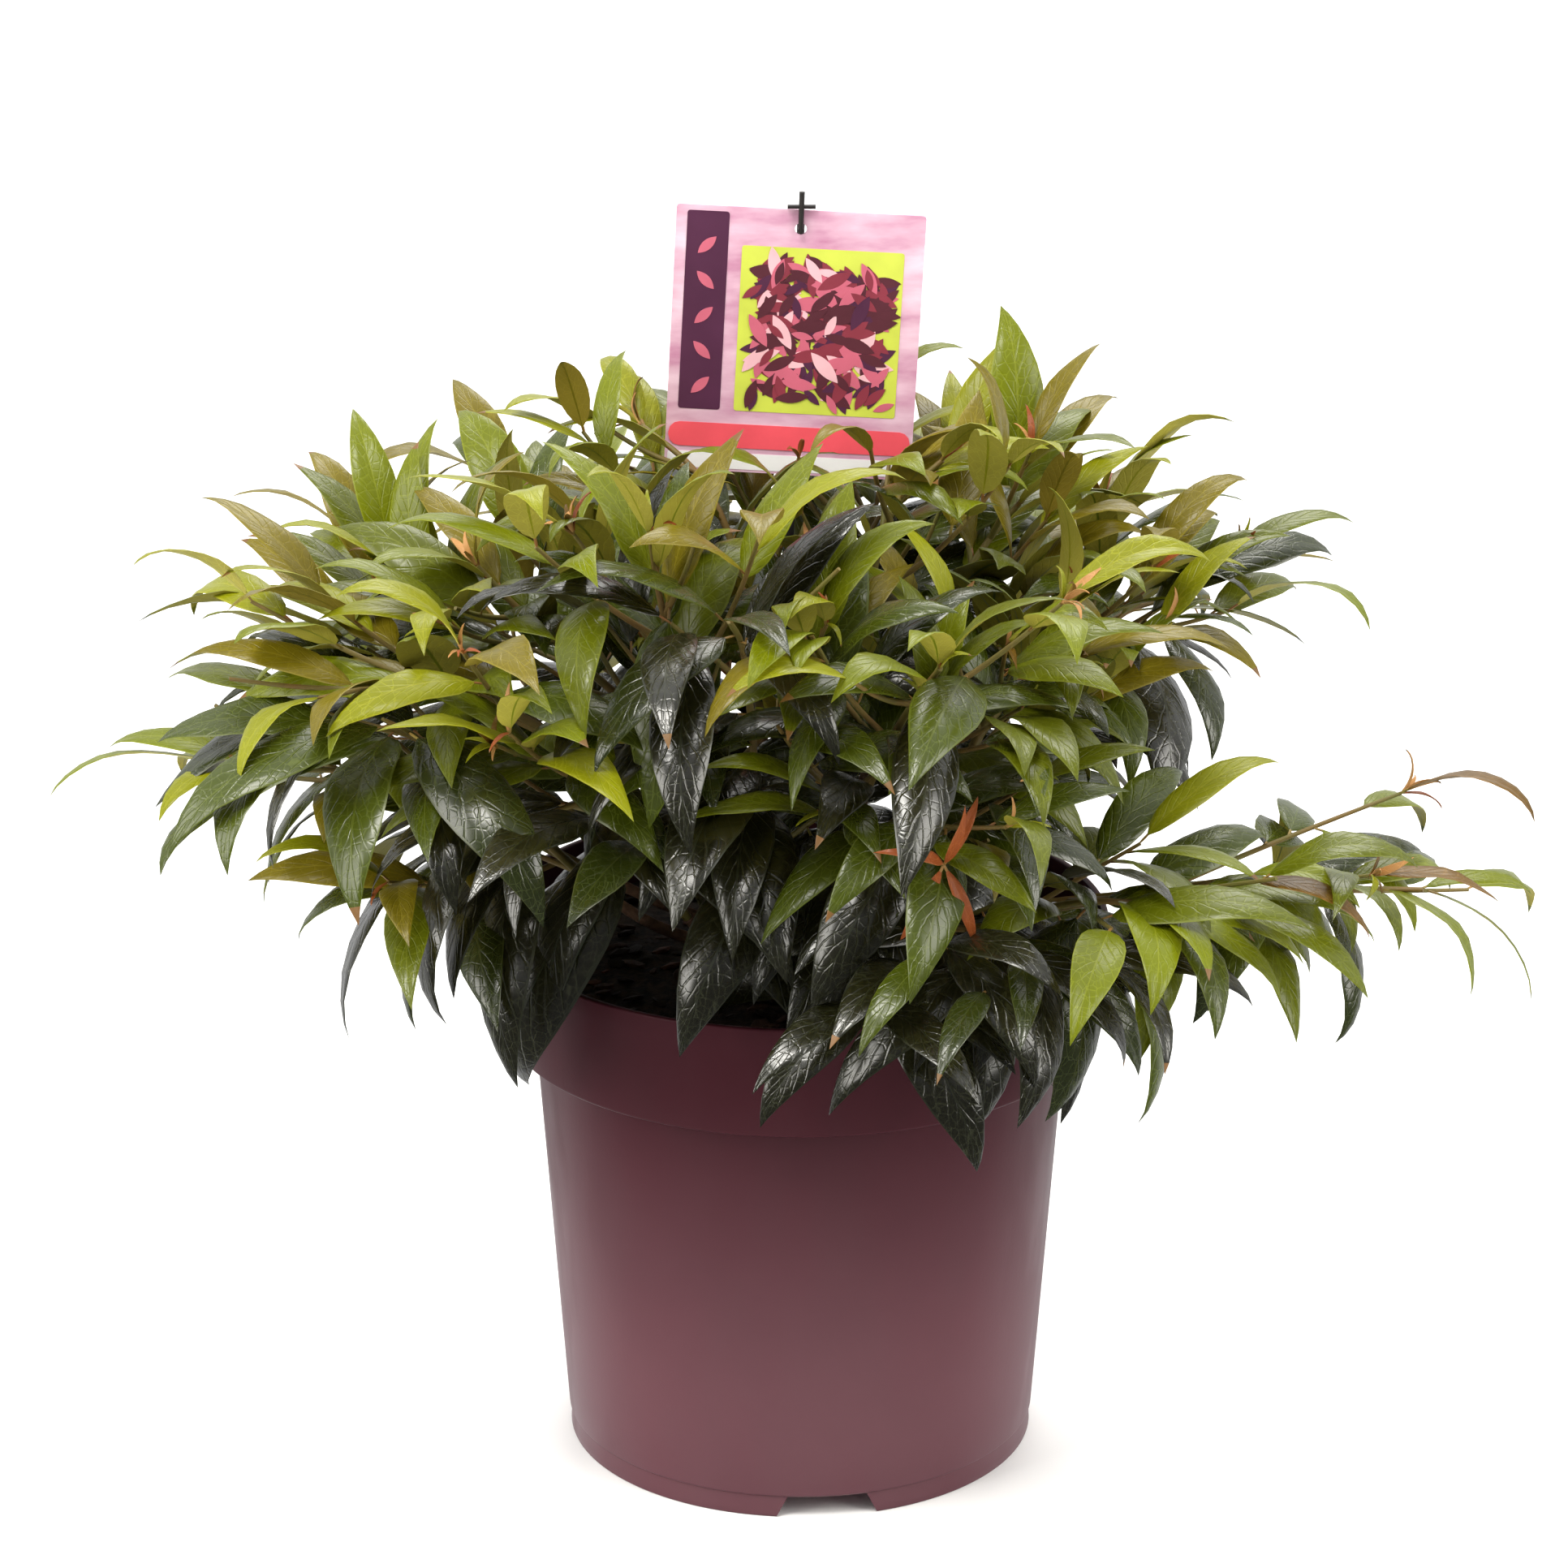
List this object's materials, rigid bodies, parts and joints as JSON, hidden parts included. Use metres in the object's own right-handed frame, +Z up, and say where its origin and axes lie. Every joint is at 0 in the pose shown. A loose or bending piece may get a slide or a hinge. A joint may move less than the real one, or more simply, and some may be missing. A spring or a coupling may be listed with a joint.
{
  "type": "potted leucothoe shrub",
  "caption": "Evergreen leucothoe shrub with arching shoots of narrow pointed leaves, in a round plum nursery pot with a label card on a thin stake.",
  "frame": {"origin": "on the floor under the pot's axis, at the middle of the foot of the plant's box", "axes": "+Z up along the pot's axis, +X to the plant's right as seen from its front, along its longest side, and -Y towards the front that the label faces"},
  "size_m": [0.5349, 0.3913, 0.4662],
  "materials": {
    "pot": "satin moulded plastic, plum, with fine scratches",
    "mix": "rough bark-based potting mix",
    "bark": "thin ridged bark, red-brown to green on young shoots",
    "foliage": "glossy leathery leaves, near black-green when old and yellow-green when young",
    "card": "printed card with a satin coat",
    "stake": "black moulded plastic"
  },
  "bodies": {
    "root": {"pot": "pot", "potting_mix": "mix", "root_crown": "bark", "label_card": "card", "label_stake": "stake", "bough_long_right": "bark", "bough_right_droop": "bark", "bough_front_right_low": "bark", "bough_front_copper": "bark", "bough_front_dark": "bark", "bough_front_left_upright": "bark", "bough_front_left_low": "bark", "bough_left_droop": "bark", "bough_left_low": "bark", "bough_left_middle": "bark", "bough_left_upper": "bark", "bough_back_left": "bark", "bough_back": "bark", "bough_back_right": "bark", "bough_right_back": "bark", "bough_right_upper": "bark", "bough_right_middle": "bark", "bough_front_right_upper": "bark", "bough_top_left": "bark", "bough_top_right": "bark", "bough_top_front": "bark", "bough_top_left_front": "bark", "bough_top_back": "bark", "bough_top_centre": "bark", "mass_long_right": "foliage", "mass_right_droop": "foliage", "mass_front_right_low": "foliage", "mass_front_copper": "foliage", "mass_front_dark": "foliage", "mass_front_left_upright": "foliage", "mass_front_left_low": "foliage", "mass_left_droop": "foliage", "mass_left_low": "foliage", "mass_left_middle": "foliage", "mass_left_upper": "foliage", "mass_back_left": "foliage", "mass_back": "foliage", "mass_back_right": "foliage", "mass_right_back": "foliage", "mass_right_upper": "foliage", "mass_right_middle": "foliage", "mass_front_right_upper": "foliage", "mass_top_left": "foliage", "mass_top_right": "foliage", "mass_top_front": "foliage", "mass_top_left_front": "foliage", "mass_top_back": "foliage", "mass_top_centre": "foliage"}
  },
  "joints": []
}
